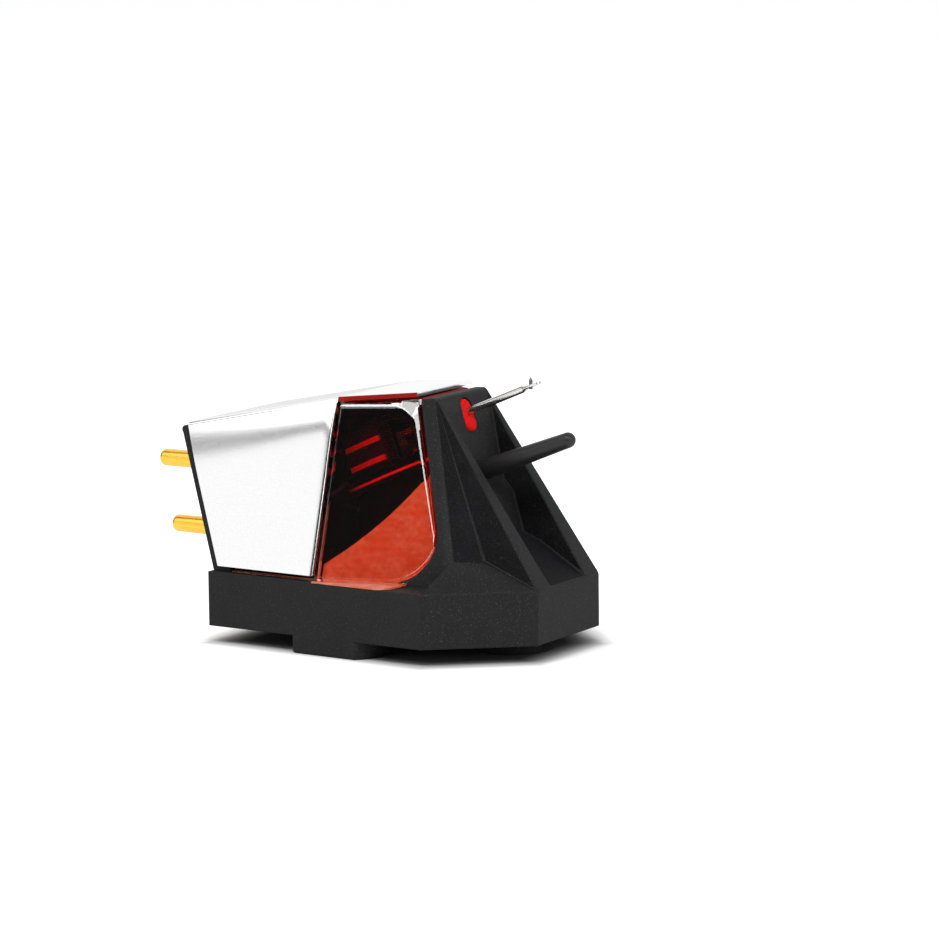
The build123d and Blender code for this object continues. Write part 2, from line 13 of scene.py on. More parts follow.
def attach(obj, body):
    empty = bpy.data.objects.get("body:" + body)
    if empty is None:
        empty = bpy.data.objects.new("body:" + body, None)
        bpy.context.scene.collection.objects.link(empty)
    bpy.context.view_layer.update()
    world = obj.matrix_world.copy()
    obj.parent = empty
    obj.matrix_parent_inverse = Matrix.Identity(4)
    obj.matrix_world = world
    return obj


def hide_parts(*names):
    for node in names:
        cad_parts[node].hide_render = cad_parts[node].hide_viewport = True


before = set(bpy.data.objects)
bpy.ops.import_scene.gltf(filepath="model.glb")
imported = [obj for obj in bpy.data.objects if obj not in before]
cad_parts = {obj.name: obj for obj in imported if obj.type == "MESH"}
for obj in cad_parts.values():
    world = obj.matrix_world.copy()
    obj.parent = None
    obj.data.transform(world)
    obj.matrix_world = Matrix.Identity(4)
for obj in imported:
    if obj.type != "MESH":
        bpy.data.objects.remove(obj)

MM = 0.001
log = logging.getLogger("cartridge")

CANTILEVER_TILT = 22.4
SECOND_FINISH = 1

Colour = tuple[float, float, float]
Triple = tuple[float, float, float]
Span = tuple[float, float]
Socket = bpy.types.NodeSocket


class Body(Enum):
    """The rigid bodies that pieces ride on."""

    SHELL = "shell"
    BUSH = "bush"
    STYLUS = "stylus"


class Side(Enum):
    """The two channels, by the sign of their y."""

    LEFT = -1
    RIGHT = 1


class Slot(Enum):
    """The record's material slots."""

    BLACK_PLASTIC = "black_plastic"
    RED_COVER = "red_cover"
    POLISHED_STEEL = "polished_steel"
    BLACK_SATIN = "black_satin"
    RED_RUBBER = "red_rubber"
    CANTILEVER_ALLOY = "cantilever_alloy"
    DIAMOND = "diamond"
    MAGNET_PLATING = "magnet_plating"
    SPRING_STEEL = "spring_steel"
    ANCHOR_BRASS = "anchor_brass"
    GOLD_PLATE = "gold_plate"
    POLE_IRON = "pole_iron"
    BOBBIN_PLASTIC = "bobbin_plastic"
    ENAMELLED_COPPER = "enamelled_copper"
    PALE_RESIN = "pale_resin"
    PAINTED_RED_LIGHT = "painted_red_light"
    COVER_INSIDE = "cover_inside"
    POCKET_PLASTIC = "pocket_plastic"
    WHITE_LEAD = "white_lead"
    BLUE_LEAD = "blue_lead"
    RED_LEAD = "red_lead"
    GREEN_LEAD = "green_lead"


def work(tree: bpy.types.NodeTree, kind: str, first: Socket, second: float | Socket) -> Socket:
    """Work a sum on a value.

    Args:
        tree: The nodes to add to.
        kind: The sum's name.
        first: The value.
        second: The other value, a number or a socket.

    Returns:
        The result.
    """
    node = tree.nodes.new("ShaderNodeMath")
    node.operation = kind
    tree.links.new(first, node.inputs[0])
    if isinstance(second, float):
        node.inputs[1].default_value = second
    else:
        tree.links.new(second, node.inputs[1])
    return node.outputs[0]


class Graph:
    """A material's nodes, added by short calls."""

    band_edge: Span = (0.7, 1.3)

    def __init__(self, name: str) -> None:
        """Start a material with one shader.

        Args:
            name: The material's name.
        """
        self.material = bpy.data.materials.new(name)
        self.material.use_nodes = True
        self.tree = self.material.node_tree
        self.tree.nodes.clear()
        self.shader = self.add("ShaderNodeBsdfPrincipled")
        output = self.add("ShaderNodeOutputMaterial")
        self.link(self.shader.outputs["BSDF"], output.inputs["Surface"])
        self.place = self.add("ShaderNodeTexCoord").outputs["Object"]

    def add(self, kind: str) -> bpy.types.Node:
        """Add a node of a kind."""
        return self.tree.nodes.new(kind)

    def link(self, source: Socket, target: Socket) -> None:
        """Join two sockets."""
        self.tree.links.new(source, target)

    def set(self, name: str, value: float | tuple) -> None:
        """Set one of the shader's own sockets."""
        self.shader.inputs[name].default_value = value

    def feed(self, name: str, source: Socket) -> None:
        """Drive one of the shader's sockets."""
        self.link(source, self.shader.inputs[name])

    def turned(self, turn: float, stretch: Triple = (1.0, 1.0, 1.0)) -> Socket:
        """Turn and stretch the piece's own coordinates.

        Args:
            turn: Turn of the axes about Y in degrees.
            stretch: What each axis is multiplied by.

        Returns:
            The new coordinates.
        """
        mapping = self.add("ShaderNodeMapping")
        mapping.vector_type = "POINT"
        mapping.inputs["Rotation"].default_value = (0.0, radians(turn), 0.0)
        mapping.inputs["Scale"].default_value = stretch
        self.link(self.place, mapping.inputs["Vector"])
        return mapping.outputs["Vector"]

    def noise(
        self, pitch: float, detail: float = 2.0, stretch: Triple = (1.0, 1.0, 1.0), turn: float = 0.0
    ) -> Socket:
        """Add noise on the piece's own coordinates.

        Args:
            pitch: Size of its patches in millimetres.
            detail: Octaves of finer noise.
            stretch: How many times finer it is along each axis.
            turn: Turn of the axes about Y in degrees.

        Returns:
            The noise's value, from 0 to 1.
        """
        texture = self.add("ShaderNodeTexNoise")
        texture.inputs["Scale"].default_value = 1.0 / (pitch * MM)
        texture.inputs["Detail"].default_value = detail
        self.link(self.turned(turn, stretch), texture.inputs["Vector"])
        return texture.outputs[0]

    def ramp(self, factor: Socket, low: Colour, high: Colour, span: Span = (0.35, 0.65)) -> Socket:
        """Turn a value into a colour between two.

        Args:
            factor: The value.
            low: Colour at the span's start and below.
            high: Colour at the span's end and above.
            span: Where the change starts and ends.

        Returns:
            The colour.
        """
        node = self.add("ShaderNodeValToRGB")
        stops = node.color_ramp.elements
        for stop, place, colour in zip(stops, span, (low, high)):
            stop.position = place
            stop.color = (*colour, 1.0)
        self.link(factor, node.inputs["Fac"])
        return node.outputs["Color"]

    def spread(self, factor: Socket, to: Span, span: Span = (0.3, 0.7)) -> Socket:
        """Spread a value over a new range.

        Args:
            factor: The value.
            to: The new range.
            span: The part of the value that is spread.

        Returns:
            The new value.
        """
        node = self.add("ShaderNodeMapRange")
        for name, number in zip(("From Min", "From Max", "To Min", "To Max"), (*span, *to)):
            node.inputs[name].default_value = number
        self.link(factor, node.inputs["Value"])
        return node.outputs["Result"]

    def over(self, base: Socket, colour: Colour, mask: Socket) -> Socket:
        """Lay a colour over another where a mask is 1.

        Args:
            base: The colour below.
            colour: The colour laid over it.
            mask: Where it lies.

        Returns:
            The mixed colour.
        """
        node = self.add("ShaderNodeMix")
        node.data_type = "RGBA"
        tints = [socket for socket in node.inputs if socket.type == "RGBA"]
        tints[1].default_value = (*colour, 1.0)
        self.link(mask, node.inputs["Factor"])
        self.link(base, tints[0])
        return next(socket for socket in node.outputs if socket.type == "RGBA")

    def math(self, kind: str, first: Socket, second: float | Socket) -> Socket:
        """Work a sum on a value."""
        return work(self.tree, kind, first, second)

    def axes(self, turn: float = 0.0) -> bpy.types.NodeSocketCollection:
        """Split the piece's own coordinates.

        Args:
            turn: Turn of the axes about Y in degrees.

        Returns:
            The coordinates along X, Y and Z, in metres.
        """
        split = self.add("ShaderNodeSeparateXYZ")
        self.link(self.turned(turn), split.inputs["Vector"])
        return split.outputs

    def band(self, height: Socket, centre: float, half: float) -> Socket:
        """Mark a soft band of heights.

        Args:
            height: The height in metres.
            centre: The band's middle in millimetres.
            half: Half its width in millimetres.

        Returns:
            A mask, 1 in the band.
        """
        away = self.math("ABSOLUTE", self.math("SUBTRACT", height, centre * MM), 0.0)
        near, far = self.band_edge
        return self.spread(away, (1.0, 0.0), (near * half * MM, far * half * MM))

    def bump(self, height: Socket, depth: float) -> None:
        """Raise the surface by a height map.

        Args:
            height: The map.
            depth: Height of its full range in millimetres.
        """
        node = self.add("ShaderNodeBump")
        node.inputs["Strength"].default_value = 1.0
        node.inputs["Distance"].default_value = depth * MM
        self.link(height, node.inputs["Height"])
        self.feed("Normal", node.outputs["Normal"])


@dataclass(frozen=True)
class Finish:
    """A finish with a fine grain in its colour, gloss and surface."""

    slot: Slot
    dark: Colour
    light: Colour
    gloss: Span
    pitch: float
    depth: float
    specular: float = 0.5
    stretch: Triple = (1.0, 1.0, 1.0)
    turn: float = 0.0

    def build(self) -> bpy.types.Material:
        """Make the material.

        Returns:
            The material.
        """
        graph = Graph(self.slot.value)
        grain = graph.noise(self.pitch, stretch=self.stretch, turn=self.turn)
        graph.set("Specular IOR Level", self.specular)
        graph.feed("Roughness", graph.spread(grain, self.gloss))
        graph.bump(grain, self.depth)
        graph.feed("Base Color", self.colour(graph, grain))
        self.detail(graph)
        return graph.material

    def colour(self, graph: Graph, grain: Socket) -> Socket:
        """Colour that follows the grain."""
        return graph.ramp(grain, self.dark, self.light)

    def detail(self, graph: Graph) -> None:
        """Set what is special to the finish."""


@dataclass(frozen=True)
class FleckedPlastic(Finish):
    """Glass-filled plastic, with pale flecks and slow patches in its matte skin."""

    fleck: Colour = (0.042, 0.042, 0.044)
    fleck_pitch: float = 0.09
    fleck_span: Span = (0.68, 0.80)
    patch_pitch: float = 2.4
    patch_share: Span = (0.0, 0.6)
    patch_span: Span = (0.45, 0.7)
    patch_shade: Colour = (0.010, 0.010, 0.011)

    def colour(self, graph: Graph, grain: Socket) -> Socket:
        """Grain, then slow dark patches, then flecks.

        Args:
            graph: The material's nodes.
            grain: Its grain.

        Returns:
            The colour.
        """
        base = graph.ramp(grain, self.dark, self.light)
        patches = graph.spread(graph.noise(self.patch_pitch), self.patch_share, self.patch_span)
        shaded = graph.over(base, self.patch_shade, patches)
        flecks = graph.spread(graph.noise(self.fleck_pitch, 0.0), (0.0, 1.0), self.fleck_span)
        return graph.over(shaded, self.fleck, flecks)


@dataclass(frozen=True)
class Metal(Finish):
    """Metal with a grain that may run along one axis."""

    metallic: float = 1.0

    def detail(self, graph: Graph) -> None:
        """Make the shader a metal's."""
        graph.set("Metallic", self.metallic)


@dataclass(frozen=True)
class PaintedGlintPlastic(Finish):
    """Dark plastic or enamel with painted glints: bright lines across the cantilever's upright, laid into
    the colour where highlights would show.
    """

    bright: Colour = (1.0, 0.03, 0.03)
    glint_heights: tuple[float, ...] = ()
    half: float = 0.15
    reach: Span = (-20.0, 20.0)
    fade: float = 0.15
    tilt: float = CANTILEVER_TILT

    def colour(self, graph: Graph, grain: Socket) -> Socket:
        """Grain with the painted glint lines laid over it.

        Args:
            graph: The material's nodes.
            grain: Its grain.

        Returns:
            The colour.
        """
        base = graph.ramp(grain, self.dark, self.light)
        spot = graph.axes(self.tilt)
        start, stop = self.reach
        begun = graph.spread(spot["X"], (0.0, 1.0), (start * MM, (start + self.fade) * MM))
        left = graph.spread(spot["X"], (1.0, 0.0), ((stop - self.fade) * MM, stop * MM))
        within = graph.math("MULTIPLY", begun, left)
        # Painted highlights: each height gets a bright line of colour in place of a glint.
        for centre in self.glint_heights:
            stripe = graph.math("MULTIPLY", graph.band(spot["Z"], centre, self.half), within)
            base = graph.over(base, self.bright, stripe)
        return base


@dataclass(frozen=True)
class ClearPlastic(Finish):
    """Clear tinted plastic."""

    index: float = 1.5
    coat: float = 0.0
    coat_index: float = 1.9
    mirror: Colour = (1.0, 1.0, 1.0)

    def detail(self, graph: Graph) -> None:
        """Let light through, under a bright polish.

        Args:
            graph: The material's nodes.
        """
        graph.set("Transmission Weight", 1.0)
        graph.set("IOR", self.index)
        graph.set("Coat Weight", self.coat)
        graph.set("Coat IOR", self.coat_index)
        graph.set("Specular Tint", (*self.mirror, 1.0))


@dataclass(frozen=True)
class CastResin(Finish):
    """Cast resin, with streaks that follow the pour."""

    streak: Colour = (0.80, 0.42, 0.22)
    streak_pitch: float = 0.9
    streak_detail: float = 3.0
    streak_stretch: Triple = (0.5, 0.5, 1.6)
    streak_turn: float = 40.0
    streak_share: Span = (0.0, 0.8)
    streak_span: Span = (0.4, 0.65)

    def colour(self, graph: Graph, grain: Socket) -> Socket:
        """Mottled colour with slanting streaks.

        Args:
            graph: The material's nodes.
            grain: Its grain.

        Returns:
            The colour.
        """
        base = graph.ramp(grain, self.dark, self.light)
        pour = graph.noise(self.streak_pitch, self.streak_detail, self.streak_stretch, self.streak_turn)
        return graph.over(base, self.streak, graph.spread(pour, self.streak_share, self.streak_span))


FINISHES: tuple[Finish, ...] = (
    FleckedPlastic(
        Slot.BLACK_PLASTIC, (0.009, 0.009, 0.0095), (0.018, 0.018, 0.0185), (0.50, 0.66), 0.06, 0.008, 0.14
    ),
    # Pocket plastic: coarser grain, and darker as painted shade in the recesses of the nose.
    FleckedPlastic(
        Slot.POCKET_PLASTIC, (0.0035, 0.0035, 0.004), (0.009, 0.009, 0.010), (0.60, 0.75), 0.12, 0.02, 0.08,
        fleck=(0.022, 0.022, 0.024),
    ),
    ClearPlastic(
        Slot.RED_COVER, (0.86, 0.28, 0.18), (0.90, 0.32, 0.22), (0.012, 0.03), 0.9, 0.0003, coat=1.0
    ),
    ClearPlastic(
        Slot.COVER_INSIDE, (0.86, 0.28, 0.18), (0.90, 0.32, 0.22), (0.02, 0.05), 0.9, 0.0003,
        mirror=(0.0, 0.0, 0.0),
    ),
    Metal(Slot.POLISHED_STEEL, (0.88, 0.88, 0.88), (0.97, 0.97, 0.97), (0.08, 0.15), 0.06, 0.0012),
    Finish(
        Slot.BLACK_SATIN, (0.010, 0.010, 0.0105), (0.018, 0.018, 0.0185), (0.34, 0.44), 0.09, 0.004, 0.35
    ),
    Finish(Slot.RED_RUBBER, (0.52, 0.002, 0.002), (0.82, 0.006, 0.005), (0.45, 0.6), 0.16, 0.012, 0.1),
    Metal(
        Slot.CANTILEVER_ALLOY, (0.62, 0.61, 0.60), (0.80, 0.79, 0.78), (0.16, 0.26), 0.05, 0.001,
        stretch=(0.12, 1.0, 1.0), turn=CANTILEVER_TILT,
    ),
    Finish(Slot.DIAMOND, (0.015, 0.015, 0.016), (0.05, 0.05, 0.052), (0.05, 0.12), 0.05, 0.001, 0.8),
    Metal(Slot.MAGNET_PLATING, (0.030, 0.030, 0.031), (0.045, 0.045, 0.046), (0.18, 0.30), 0.08, 0.002),
    Metal(Slot.SPRING_STEEL, (0.50, 0.50, 0.50), (0.64, 0.64, 0.64), (0.20, 0.34), 0.04, 0.001),
    Metal(Slot.ANCHOR_BRASS, (0.030, 0.020, 0.009), (0.050, 0.035, 0.016), (0.22, 0.36), 0.07, 0.002),
    Metal(
        Slot.GOLD_PLATE, (1.00, 0.52, 0.05), (1.00, 0.64, 0.10), (0.16, 0.26), 0.08, 0.0003,
        stretch=(0.15, 1.0, 1.0), metallic=0.85,
    ),
    # Pole iron: near-black, as painted shade for the dim inside of the cover.
    Metal(Slot.POLE_IRON, (0.010, 0.010, 0.010), (0.018, 0.018, 0.018), (0.30, 0.46), 0.09, 0.003),
    # Bobbins and carrier: dark plastic with one painted highlight line.
    PaintedGlintPlastic(
        Slot.BOBBIN_PLASTIC, (0.004, 0.004, 0.004), (0.009, 0.008, 0.008), (0.4, 0.5), 0.07, 0.004, 0.1,
        glint_heights=(10.2,), half=0.1, reach=(1.8, 20.0), fade=1.5,
    ),
    # Winding: dark red standing in for its turns in shade, with two painted glint lines across them.
    PaintedGlintPlastic(
        Slot.ENAMELLED_COPPER, (0.012, 0.003, 0.003), (0.06, 0.005, 0.005), (0.3, 0.45), 0.07, 0.002, 0.1,
        glint_heights=(12.80, 11.45), half=0.17, reach=(-20.0, 5.8),
    ),
    CastResin(Slot.PALE_RESIN, (0.80, 0.62, 0.46), (0.90, 0.92, 0.88), (0.45, 0.6), 0.35, 0.02),
    # Painted red light: opaque dark red in place of light glowing through the cover's rims and of the
    # cover's red reflection in the steel plate's edges.
    Finish(Slot.PAINTED_RED_LIGHT, (0.20, 0.004, 0.003), (0.26, 0.008, 0.006), (0.3, 0.4), 0.2, 0.001, 0.1),
    Finish(Slot.WHITE_LEAD, (0.74, 0.74, 0.71), (0.84, 0.84, 0.82), (0.40, 0.52), 0.12, 0.004),
    Finish(Slot.BLUE_LEAD, (0.035, 0.09, 0.42), (0.06, 0.14, 0.55), (0.40, 0.52), 0.12, 0.004),
    Finish(Slot.RED_LEAD, (0.52, 0.022, 0.022), (0.66, 0.038, 0.036), (0.40, 0.52), 0.12, 0.004),
    Finish(Slot.GREEN_LEAD, (0.03, 0.30, 0.06), (0.05, 0.40, 0.10), (0.40, 0.52), 0.12, 0.004),
)


class Palette:
    """All finishes, made once and handed out by slot."""

    def __init__(self) -> None:
        """Make every finish."""
        self.materials = {finish.slot: finish.build() for finish in FINISHES}

    def paint(self, piece: bpy.types.Object, *slots: Slot) -> None:
        """Give a piece the finishes of one or more slots.

        Args:
            piece: The piece.
            slots: The slots, in the order of the piece's face numbers.
        """
        if piece.data.materials:
            piece.data.materials.clear()
        for slot in slots:
            piece.data.materials.append(self.materials[slot])


class Stock:
    """A mesh in the making, started from a CAD node's solid or from nothing."""

    merge_gap: float = 0.0002
    flat_angle: float = 0.5
    cut_gap: float = 0.001
    same_way: float = 0.9995
    sharp_angle: float = 28.0
    shortest: float = 0.35
    round_steps: int = 2

    def __init__(self, node: str | None = None) -> None:
        """Start the mesh.

        Args:
            node: CAD node to copy and merge, if any.
        """
        self.mesh = bmesh.new()
        if node is not None:
            self.mesh.from_mesh(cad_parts[node].data)
            bmesh.ops.remove_doubles(self.mesh, verts=self.mesh.verts, dist=self.merge_gap * MM)
            bmesh.ops.dissolve_limit(
                self.mesh, angle_limit=radians(self.flat_angle),
                verts=self.mesh.verts, edges=self.mesh.edges,
            )
            self.mesh.normal_update()

    def cut(self, normal: Vector, co: Vector, plane: Vector) -> None:
        """Cut the faces that face one way along a plane.

        Args:
            normal: The way the faces face.
            co: A point of the plane.
            plane: The plane's normal.
        """
        faces = [face for face in self.mesh.faces if face.normal.dot(normal) > self.same_way]
        edges = {edge for face in faces for edge in face.edges}
        verts = {vert for face in faces for vert in face.verts}
        bmesh.ops.bisect_plane(
            self.mesh, geom=[*faces, *edges, *verts], plane_co=co, plane_no=plane, dist=self.cut_gap * MM
        )

    def soften(self, width: float) -> None:
        """Round the sharp edges, apart from the shortest.

        Args:
            width: Width of the rounding in millimetres.
        """
        sharp = [
            edge
            for edge in self.mesh.edges
            if edge.is_manifold
            and edge.calc_face_angle(0.0) > radians(self.sharp_angle)
            and edge.calc_length() > self.shortest * MM
        ]
        self.round(sharp, width)

    def round(self, edges: list[bmesh.types.BMEdge], width: float) -> None:
        """Round chosen edges.

        Args:
            edges: The edges.
            width: Width of the rounding in millimetres.
        """
        bmesh.ops.bevel(
            self.mesh, geom=edges, offset=width * MM, offset_type="OFFSET", affect="EDGES",
            segments=self.round_steps, profile=0.5, material=-1, clamp_overlap=False,
        )

    def piece(self, name: str, smooth: float = 32.0, weighted: bool = True) -> bpy.types.Object:
        """Turn the mesh into an object.

        Args:
            name: The piece's name.
            smooth: Angle in degrees over which an edge stays sharp.
            weighted: Whether large faces keep their shading flat.

        Returns:
            The object, at the origin.
        """
        data = bpy.data.meshes.new(name)
        self.mesh.to_mesh(data)
        self.mesh.free()
        data.shade_smooth()
        data.set_sharp_from_angle(angle=radians(smooth))
        made = bpy.data.objects.new(name, data)
        bpy.context.scene.collection.objects.link(made)
        if weighted:
            flatten = made.modifiers.new("flat_faces", "WEIGHTED_NORMAL")
            flatten.keep_sharp = True
        return made


@dataclass
class Assembly:
    """Pieces that are built and dressed together."""

    palette: Palette
    made: list[bpy.types.Object] = field(default_factory=list)
    round_angle: float = 40.0

    def keep(self, node: str, slot: Slot) -> None:
        """Keep a CAD node and give it its finish.

        Args:
            node: The node.
            slot: The finish's slot.
        """
        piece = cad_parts[node]
        self.palette.paint(piece, slot)
        self.made.append(piece)

    def swap(self, piece: bpy.types.Object, node: str, slot: Slot, body: Body, *others: Slot) -> None:
        """Put a new piece in a CAD node's stead.

        Args:
            piece: The piece.
            node: The node that it stands for.
            slot: The finish's slot.
            body: The body that it rides on.
            others: Slots of finishes on some of its faces.
        """
        self.palette.paint(piece, slot, *others)
        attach(piece, body.value)
        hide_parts(node)
        self.made.append(piece)

    def smooth(self, node: str, name: str, slot: Slot, body: Body) -> None:
        """Put a smooth-shaded copy of a round CAD node in its stead.

        Args:
            node: The node.
            name: The copy's name.
            slot: The finish's slot.
            body: The body that it rides on.
        """
        self.swap(Stock(node).piece(name, self.round_angle, False), node, slot, body)

    def build(self) -> None:
        """Build and dress the pieces."""


@dataclass
class Hull:
    """Planes that the cover and the saddle share, in millimetres and degrees."""

    foot_half: float = 8.53
    foot_z: float = 4.9
    lean: float = 15.2
    yaw: float = 17.4
    crease_x: float = -1.3
    crease_z: float = 17.02
    nose_pitch: float = 4.2
    rear_pitch: float = 11.5

    def facet_normal(self, side: Side) -> Vector:
        """Way that a front facet faces."""
        return Vector((tan(radians(self.yaw)), side.value, tan(radians(self.lean)))).normalized()

    def flap_normal(self, side: Side) -> Vector:
        """Way that a side faces."""
        return Vector((0.0, side.value, tan(radians(self.lean)))).normalized()

    def roof_normal(self, pitch: float) -> Vector:
        """Way that a roof of some pitch faces."""
        return Vector((-sin(radians(pitch)), 0.0, cos(radians(pitch))))

    def crease(self) -> Vector:
        """Point of the roof's crease, in metres."""
        return Vector((self.crease_x, 0.0, self.crease_z)) * MM

    def foot(self, side: Side) -> Vector:
        """Point where a side meets the base below the crease, in metres."""
        return Vector((self.crease_x, side.value * self.foot_half, self.foot_z)) * MM


@dataclass
class Housing(Assembly):
    """Moulded body with its guide pin."""

    hull: Hull = field(default_factory=Hull)
    edge: float = 0.11
    pocket_x: float = 5.5
    pocket_z: float = 5.0
    pocket_way: Span = (-0.1, 0.7)
    shoulder_rise: float = 0.8
    shoulder_side: float = 0.2
    facet_match: float = 0.95

    def build(self) -> None:
        """Round the moulding's edges and dress it."""
        stock = Stock("body")
        stock.soften(self.edge)
        self.mark_pockets(stock)
        piece = stock.piece("body_moulding")
        self.swap(piece, "body", Slot.BLACK_PLASTIC, Body.SHELL, Slot.POCKET_PLASTIC)
        self.smooth("guide_pin", "guide_finger", Slot.BLACK_SATIN, Body.SHELL)

    def mark_pockets(self, stock: Stock) -> None:
        """Mark the faces of the pockets beside the webs and of the channel between them for a coarser,
        darker plastic, whose darkness is painted shade for these recesses.

        Args:
            stock: The moulding's mesh.
        """
        facets = [self.hull.facet_normal(side) for side in Side]
        back, front = self.pocket_way
        for face in stock.mesh.faces:
            middle, way = face.calc_center_median() / MM, face.normal
            ahead = middle.x > self.pocket_x and middle.z > self.pocket_z and back < way.x < front
            shoulder = way.z > self.shoulder_rise and abs(way.y) > self.shoulder_side
            if ahead and not shoulder and all(way.dot(facet) < self.facet_match for facet in facets):
                face.material_index = SECOND_FINISH


def ease(value: float) -> float:
    """Clamp a value to 0..1 and square it."""
    return min(max(value, 0.0), 1.0) ** 2


@dataclass
class Rim:
    """Sloping border along one edge of a facet."""

    point: Vector
    normal: Vector
    slope: float

    def past(self, place: Vector) -> float:
        """Distance of a place past the border's inner line."""
        return (place - self.point).dot(self.normal)


class CoverFace(IntEnum):
    """Places of the cover's finishes, by number."""

    OUTSIDE = 0
    LINING = 1
    EDGE = 2
    INSIDE = 3


@dataclass
class Cover(Assembly):
    """Clear red cover, whose front facets slope off towards the roof and the front wall."""

    hull: Hull = field(default_factory=Hull)
    sheet: float = 0.3
    front_top: Span = (4.21, 17.12)
    front_lean: float = 15.0
    facet_edge: float = -0.94
    skin: float = 0.5
    top_rim: Span = (0.45, 0.68)
    top_tilt: float = 18.0
    front_rim: Span = (0.64, 0.36)
    front_tilt: float = 33.0
    front_height: float = 9.5
    corner: float = 1.1
    deepest: float = 0.56
    pitch: float = 0.1
    shrink: float = 0.02
    ridge: float = 0.05
    border: float = 0.16
    lip: float = 0.15
    edge_match: float = 0.85
    foot_match: float = 0.98
    inside_match: float = 0.95
    wall_match: float = 0.99
    ridge_gap: float = 0.005

    def build(self) -> None:
        """Copy the cover's solid, slope its facets off and dress it."""
        stock = Stock("generator_cover")
        for side in Side:
            self.cut_facet(stock, side)
        for side in Side:
            self.sink_facet(stock, side)
            self.round_ridge(stock, side)
        self.mark_faces(stock)
        self.free_faces(stock)
        piece = stock.piece("red_cover", self.round_angle)
        finishes = (Slot.PALE_RESIN, Slot.PAINTED_RED_LIGHT, Slot.COVER_INSIDE)
        self.swap(piece, "generator_cover", Slot.RED_COVER, Body.SHELL, *finishes)

    def rims(self) -> tuple[Rim, Rim]:
        """Find the borders below the roof and behind the front wall.

        Returns:
            The top border and the front border.
        """
        length = self.front_top[0] - self.facet_edge
        pitch = self.hull.nose_pitch - degrees(atan2(self.top_rim[1] - self.top_rim[0], length))
        lean = self.front_lean + degrees(atan2(self.front_rim[0] - self.front_rim[1], self.front_height))
        corner = Vector((self.front_top[0], 0.0, self.front_top[1]))
        front = Vector((cos(radians(lean)), 0.0, sin(radians(lean))))
        top_point = corner - Vector((0.0, 0.0, self.top_rim[1]))
        front_point = corner - Vector((self.front_rim[0], 0.0, 0.0))
        return (
            Rim(top_point * MM, self.hull.roof_normal(pitch), tan(radians(self.top_tilt))),
            Rim(front_point * MM, front, tan(radians(self.front_tilt))),
        )

    def cut_facet(self, stock: Stock, side: Side) -> None:
        """Cut lines into a facet, along its borders and across its corner.

        Args:
            stock: The cover's mesh.
            side: The facet's side.
        """
        facet = self.hull.facet_normal(side)
        inner = round(self.corner / self.pitch)
        outer = round(max(*self.top_rim, *self.front_rim) / self.pitch)
        for rim in self.rims():
            for step in range(-inner, outer + 1):
                stock.cut(facet, rim.point + rim.normal * (self.pitch * step * MM), rim.normal)
        beside = Vector((self.facet_edge + self.border, 0.0, 0.0)) * MM
        stock.cut(facet, beside, Vector((1.0, 0.0, 0.0)))
        above = Vector((0.0, 0.0, self.hull.foot_z + self.lip + self.border)) * MM
        stock.cut(facet, above, Vector((0.0, 0.0, 1.0)))

    def sink_facet(self, stock: Stock, side: Side) -> None:
        """Slope a facet's borders inwards, round their common corner.

        Args:
            stock: The cover's mesh.
            side: The facet's side.
        """
        facet = self.hull.facet_normal(side)
        top, front = self.rims()
        corner = self.corner * MM
        for vert in stock.mesh.verts:
            under = (self.hull.foot(side) - vert.co).dot(facet)
            if vert.co.x < (self.facet_edge - self.pitch) * MM or under > self.skin * MM:
                continue
            past_top = top.past(vert.co)
            past_front = front.past(vert.co)
            if past_top > -corner and past_front > -corner:
                reach = hypot(past_top + corner, past_front + corner)
                share = ((past_top + corner) / max(reach, corner)) ** 2
                depth = (reach - corner) * (top.slope * share + front.slope * (1.0 - share))
            else:
                depth = max(past_top * top.slope, past_front * front.slope)
            vert.co -= facet * min(max(depth, 0.0), self.deepest * MM)

    def round_ridge(self, stock: Stock, side: Side) -> None:
        """Round the ridge between a facet and the groove beside the flap.

        Args:
            stock: The cover's mesh.
            side: The facet's side.
        """
        facet = self.hull.facet_normal(side)
        ridge = [
            edge
            for edge in stock.mesh.edges
            if all(abs(vert.co.x - self.facet_edge * MM) < self.ridge_gap * MM for vert in edge.verts)
            and any(face.normal.dot(facet) > self.wall_match for face in edge.link_faces)
        ]
        stock.round(ridge, self.ridge)

    def mark_faces(self, stock: Stock) -> None:
        """Mark the lining under the lip, the edges that get a painted red glow and the inside.

        Args:
            stock: The cover's mesh.
        """
        flaps = [self.hull.flap_normal(side) for side in Side]
        walls = [*flaps, *(self.hull.facet_normal(side) for side in Side)]
        lip = (self.hull.foot_z + self.shrink) * MM
        rims = self.rims()
        for face in stock.mesh.faces:
            middle, way = face.calc_center_median(), face.normal
            if way.z < -self.foot_match and middle.z < lip:
                face.material_index = CoverFace.LINING
            elif any(way.dot(rim.normal) > self.edge_match and rim.past(middle) > 0.0 for rim in rims):
                # Painted red glow on the rims' outer faces, in place of light through the rim.
                face.material_index = CoverFace.EDGE
            elif any(way.dot(wall) < -self.inside_match for wall in walls):
                face.material_index = CoverFace.INSIDE
            elif any(way.dot(flap) > self.wall_match for flap in flaps):
                face.material_index = CoverFace.INSIDE

    def free_faces(self, stock: Stock) -> None:
        """Draw the cover back from the faces that it shares with the sheet and the base.

        Args:
            stock: The cover's mesh.
        """
        gap = self.shrink * MM
        sheet = self.sheet * MM
        foot = self.hull.foot_z * MM
        for vert in stock.mesh.verts:
            for side in Side:
                flap = self.hull.flap_normal(side)
                if abs((self.hull.foot(side) - vert.co).dot(flap) - sheet) < gap / 4:
                    vert.co -= flap * gap
            for pitch in (self.hull.nose_pitch, self.hull.rear_pitch):
                roof = self.hull.roof_normal(pitch)
                if abs((self.hull.crease() - vert.co).dot(roof) - sheet) < gap / 2:
                    vert.co -= roof * gap
            if abs(vert.co.z - foot) < gap / 4:
                vert.co.z += gap


